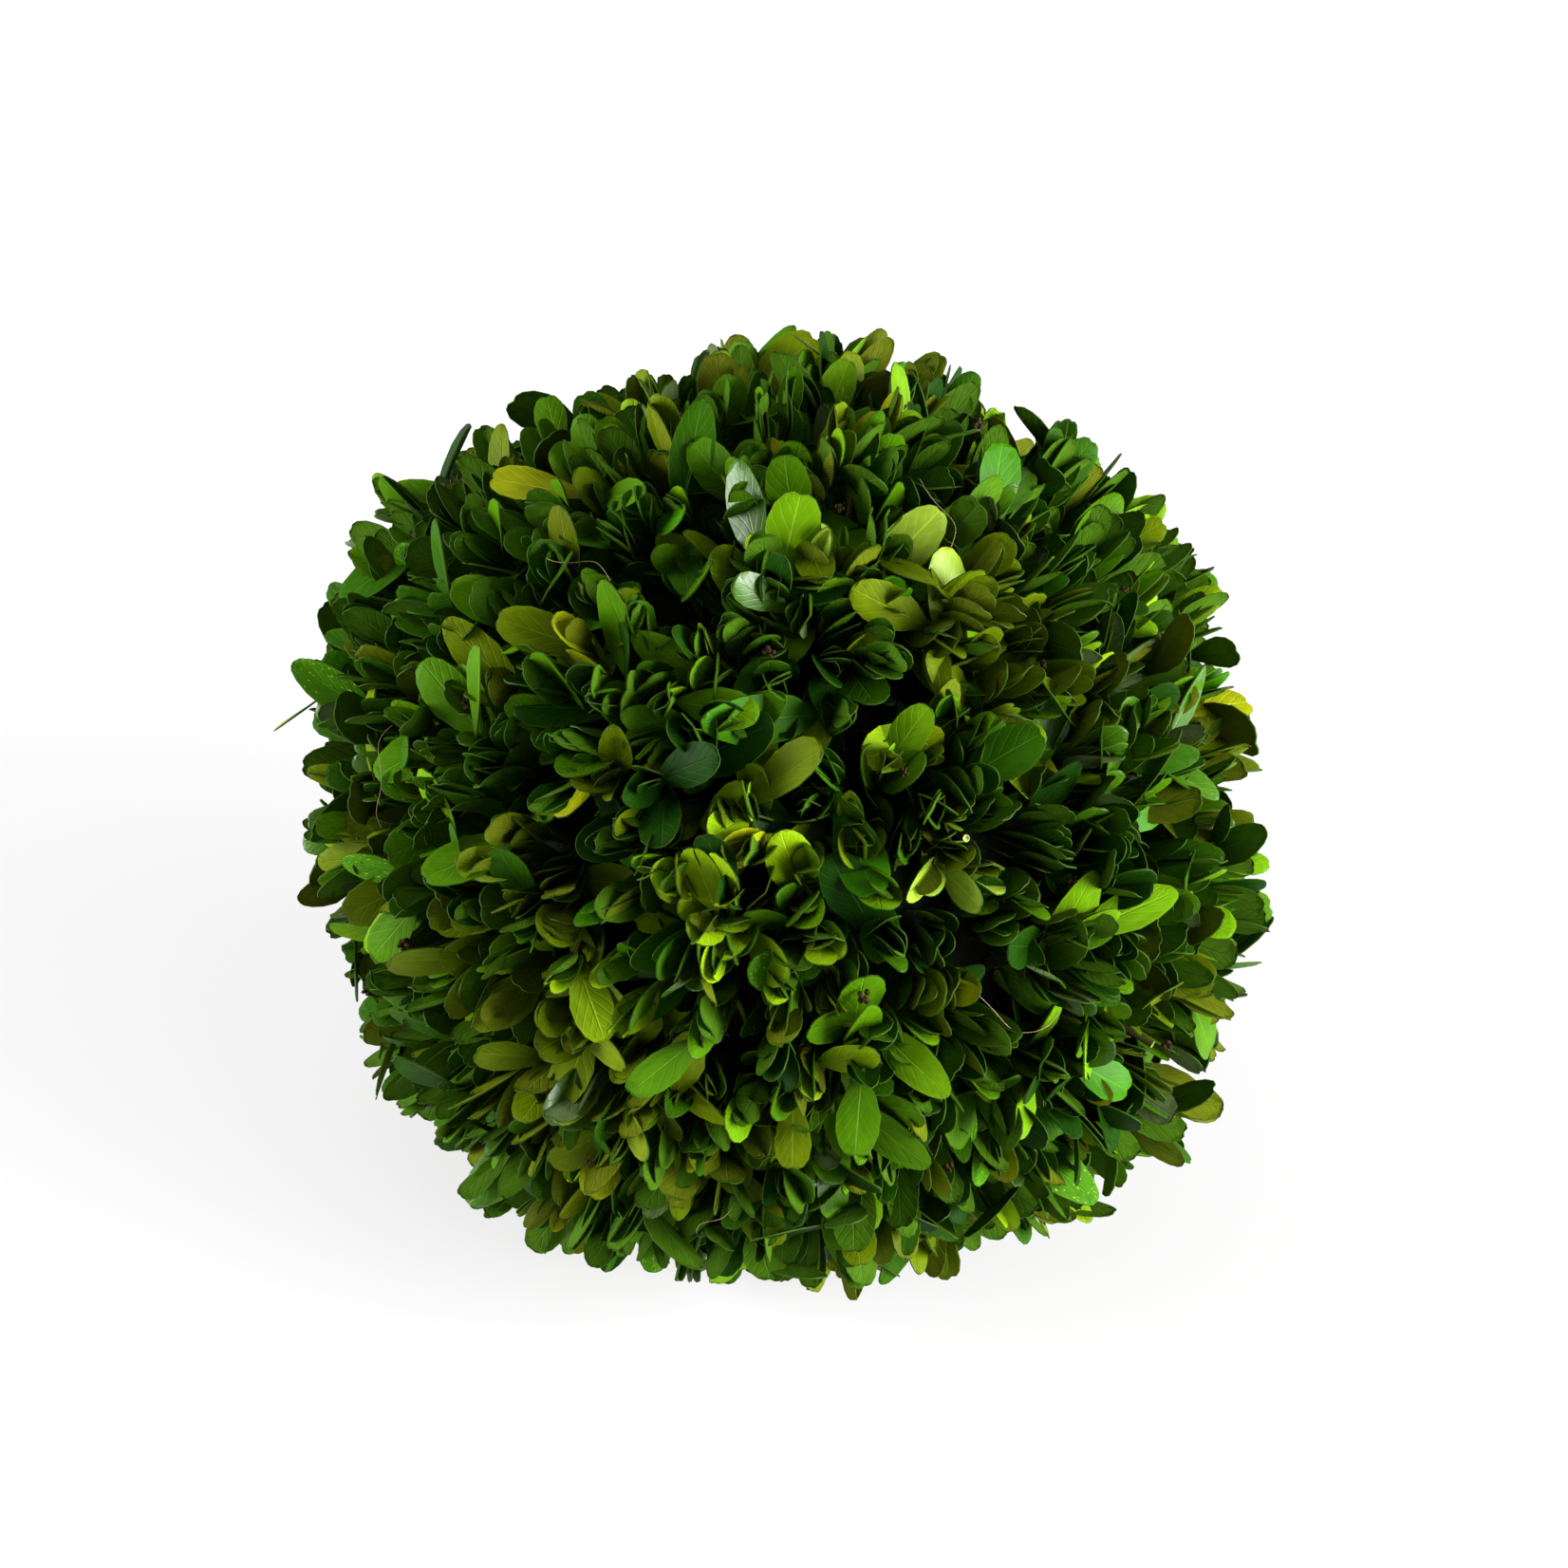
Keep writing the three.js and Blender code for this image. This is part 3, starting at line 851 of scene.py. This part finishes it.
def joined(name, parts, finishes):
    """One mesh from arrays of points, faces, slots and maps."""
    points = np.concatenate([p["points"] for p in parts])
    starts = np.cumsum([0] + [len(p["points"]) for p in parts[:-1]])
    faces = np.concatenate([p["faces"] + start for p, start in zip(parts, starts)])
    slots = np.concatenate([p["slots"] for p in parts])
    mesh = bpy.data.meshes.new(name)
    mesh.from_pydata((points * MM).tolist(), [], faces.tolist())
    mesh.polygons.foreach_set("material_index", slots.astype(np.int32))
    for finish in finishes:
        mesh.materials.append(finish)
    for layer in ("leaf", "OFBake"):
        if layer in parts[0]:
            places = np.concatenate([p[layer].reshape(-1, 2) for p in parts])
            made = mesh.uv_layers.new(name=layer)
            made.uv.foreach_set("vector", places.astype(np.float32).ravel())
    mesh.validate()
    piece = bpy.data.objects.new(name, mesh)
    bpy.context.collection.objects.link(piece)
    bpy.ops.object.select_all(action="DESELECT")
    piece.select_set(True)
    bpy.context.view_layer.objects.active = piece
    bpy.ops.object.shade_smooth_by_angle(angle=math.radians(SMOOTH_ANGLE))
    return piece


def tiled(places, slots):
    """A leaf's own map moved into the tile of each face's finish."""
    corner = np.stack([slots % TILES, slots // TILES], 1)[:, None, :]
    return (corner + TILE_MARGIN + (1 - 2 * TILE_MARGIN) * places) / TILES


def leaf_piece(name, leaves, forms, finishes):
    """The leaves of one mass, each with the finishes of its face, its back and its rim."""
    parts = []
    for index, root, turned, tint in sorted(leaves, key=lambda leaf: leaf[0]):
        form = forms[index]
        back = len(TINTS) + TINT_BACKS[tint]
        slots = np.choose(form["slots"], [tint, back, len(TINTS) + len(BACKS)])
        places = form["map"].copy()
        places[form["slots"] == RIM_SLOT] = WHOLE_TILE
        parts.append(
            {
                "points": placed(form, turned, root),
                "faces": form["faces"],
                "slots": slots,
                "leaf": form["map"],
                "OFBake": tiled(places, slots),
            }
        )
    return joined(name, parts, finishes)


def twig_piece(name, twigs, form, finish):
    """The twigs of one mass."""
    parts = []
    for foot, axis, length in twigs:
        side, front = cross_axes(axis, 0)
        turned = np.stack([side * TWIG_RADIUS, front * TWIG_RADIUS, axis * length], 1)
        parts.append({**form, "points": placed(form, turned, foot)})
    return joined(name, parts, [finish])


def snipped_piece(bark, wood):
    """The twig ends that the shears cut off inside the ball."""
    form = snipped_form()
    parts = []
    for base in spiral(SNIPPED_COUNT, SNIPPED_WANDER):
        base = pressed_out(base)
        side, front = cross_axes(base, any_turn())
        axis = unit(base + SNIPPED_LEAN * luck.normal() * side)
        radius = varied(*SNIPPED_RADIUS)
        length = reach_along(base) - varied(*SNIPPED_DEPTH) - TWIG_ROOT
        turned = np.stack([side * radius, front * radius, axis * length], 1)
        parts.append({**form, "points": placed(form, turned, base * TWIG_ROOT)})
    return joined("snipped_ends", parts, [bark, wood])


def bud_piece(finish):
    """The clusters of dried flower buds that sit among the leaves."""
    form = bud_form()
    parts = []
    for base in spiral(BUD_COUNT, BUD_WANDER):
        base = pressed_out(base)
        side, front = cross_axes(base, any_turn())
        turned = np.stack([side, front, base], 1) * varied(*BUD_SIZE)
        root = base * (reach_along(base) - varied(*BUD_DEPTH))
        parts.append({**form, "points": placed(form, turned, root)})
    return joined("dried_buds", parts, [finish])


# Where the fibres lie, their heading round the ball and their length
FIBRES = [
    (-157, 24, 110, 22),
    (-152, 61, 10, 18),
    (-99, -20, 75, 18),
    (-60, 10, 150, 22),
    (75, -5, 200, 30),
    (140, 20, 80, 26),
    (-20, 70, 10, 20),
]
FIBRE_POINTS = 9
FIBRE_RADIUS = 0.06
FIBRE_DEPTH = 8
FIBRE_LIFT = 3
# How far a fibre sways and ripples, and over how many radians
SWAY = (3, 5)
RIPPLE = (0.8, 9)


def fibre(azimuth, elevation, heading, length):
    """A thin dry strand that lies over the leaves, with both ends sunk among them."""
    base = direction_at(azimuth, elevation)
    side, front = cross_axes(base, math.radians(heading))
    bpy.ops.object.select_all(action="DESELECT")
    bpy.ops.curve.primitive_nurbs_path_add()
    strand = bpy.context.object
    spline = strand.data.splines[0]
    spline.points.add(FIBRE_POINTS - len(spline.points))
    for i, point in enumerate(spline.points):
        share = i / (FIBRE_POINTS - 1)
        across = length * (share - 0.5)
        sway = SWAY[0] * math.sin(SWAY[1] * share + heading)
        turned = unit(base * REACH + side * across + front * sway)
        lift = FIBRE_LIFT * math.sin(math.pi * share) ** 0.5
        ripple = RIPPLE[0] * math.sin(RIPPLE[1] * share)
        place = turned * (reach_along(turned) - FIBRE_DEPTH + lift + ripple)
        point.co = (*((place + np.array([0, 0, CENTRE_HEIGHT])) * MM), 1)
    spline.use_endpoint_u = True
    strand.data.bevel_depth = FIBRE_RADIUS * MM
    strand.data.bevel_resolution = 0
    strand.data.resolution_u = 4
    strand.data.use_fill_caps = True
    bpy.ops.object.convert(target="MESH")
    return bpy.context.object


def fibre_piece(finish):
    """All the loose fibres."""
    fibres = merged([fibre(*places) for places in FIBRES])
    fibres.name = "dry_fibres"
    fibres.data.materials.append(finish)
    return fibres


def core_piece(finish):
    """The lumpy core, near-black as painted shade, that shows only in the gaps."""
    bpy.ops.object.select_all(action="DESELECT")
    bpy.ops.mesh.primitive_ico_sphere_add(
        subdivisions=6, radius=CORE_RADIUS * MM, location=(0, 0, CENTRE_HEIGHT * MM)
    )
    core = bpy.context.object
    core.name = "matted_core"
    bpy.ops.object.transform_apply(location=True, rotation=True, scale=True)
    lumps = bpy.data.textures.new("twig_butts", "CLOUDS")
    lumps.noise_scale = CORE_LUMP * MM
    relief = core.modifiers.new("butts", "DISPLACE")
    relief.texture = lumps
    relief.strength = CORE_RELIEF * MM
    relief.mid_level = 0.5
    bpy.ops.object.modifier_apply(modifier=relief.name)
    bpy.ops.object.shade_smooth()
    core.data.materials.append(finish)
    return core


# The parts

finishes = leaf_finishes()
forms = [leaf_form(*form) for form in LEAF_FORMS]
leaves, twigs = grow()
stem = twig_form()
bark = twig_finish()
for name in leaves:
    short = name.removeprefix("foliage_")
    piece = leaf_piece(short + "_leaves", leaves[name], forms, finishes)
    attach(piece, "root")
    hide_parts(name)
    stems = twig_piece(short + "_twigs", twigs[name], stem, bark)
    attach(stems, "root")
for piece in (
    snipped_piece(bark, cut_wood_finish()),
    bud_piece(bud_finish()),
    fibre_piece(fibre_finish()),
):
    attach(piece, "root")
core = core_piece(painted_shade_core_finish())
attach(core, "root")
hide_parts("foam_core")

# Floor, light and camera

WHITE = (1, 1, 1, 1)
PAPER_TONE = (0.31, 0.31, 0.31, 1)
bpy.ops.object.select_all(action="DESELECT")
bpy.ops.mesh.primitive_plane_add(size=40)
floor = bpy.context.object
floor.name = "floor"
# White paper that stays white beside the ball and still takes its shadow
paper, paper_shader = new_finish("white_paper_floor")
paper_inputs = {
    "Base Color": PAPER_TONE,
    "Emission Color": WHITE,
    "Emission Strength": 0.56,
    "Roughness": 0.9,
    "Specular IOR Level": 0.1,
}
give(paper, paper_shader, paper_inputs)
floor.data.materials.append(paper)

world = bpy.data.worlds.new("studio")
bpy.context.scene.world = world
world.use_nodes = True
give(world, world.node_tree.nodes["Background"], {"Color": WHITE, "Strength": 0.28})


def soft_light(name, place, size, power):
    """A round lamp that faces the ball."""
    light = bpy.data.lights.new(name, "AREA")
    light.shape = "DISK"
    light.size = size
    light.energy = power
    lamp = bpy.data.objects.new(name, light)
    bpy.context.collection.objects.link(lamp)
    lamp.location = place
    aim = Vector((0, 0, CENTRE_HEIGHT * MM)) - Vector(place)
    lamp.rotation_euler = aim.to_track_quat("-Z", "Y").to_euler()


# Two broad low lights, of which the right one is the stronger, and a weak one from above
soft_light("right_light", (1.24, -0.48, 0.34), 1.2, 83)
soft_light("left_light", (-1.3, -0.1, 0.42), 1.0, 42)
soft_light("overhead_light", (-0.2, 0.4, 1.4), 0.9, 3)

# The camera takes in a width at the ball, and aims a little above and right of its middle
VIEW_ELEVATION = 40
VIEW_DISTANCE = 1200
FRAME_WIDTH = 323
AIM_UP = 6.4
AIM_RIGHT = 0.4
SENSOR_WIDTH = 36
tilt = math.radians(VIEW_ELEVATION)
towards = Vector((0, -math.cos(tilt), math.sin(tilt)))
up = Vector((0, math.sin(tilt), math.cos(tilt)))
aim = Vector((AIM_RIGHT, 0, CENTRE_HEIGHT)) + AIM_UP * up
lens = bpy.data.cameras.new("camera")
lens.sensor_width = SENSOR_WIDTH
lens.lens = SENSOR_WIDTH * VIEW_DISTANCE / FRAME_WIDTH
camera = bpy.data.objects.new("camera", lens)
bpy.context.collection.objects.link(camera)
camera.location = (aim + VIEW_DISTANCE * towards) * MM
camera.rotation_euler = (-towards).to_track_quat("-Z", "Y").to_euler()
bpy.context.scene.camera = camera
bpy.context.scene.view_settings.view_transform = "Standard"
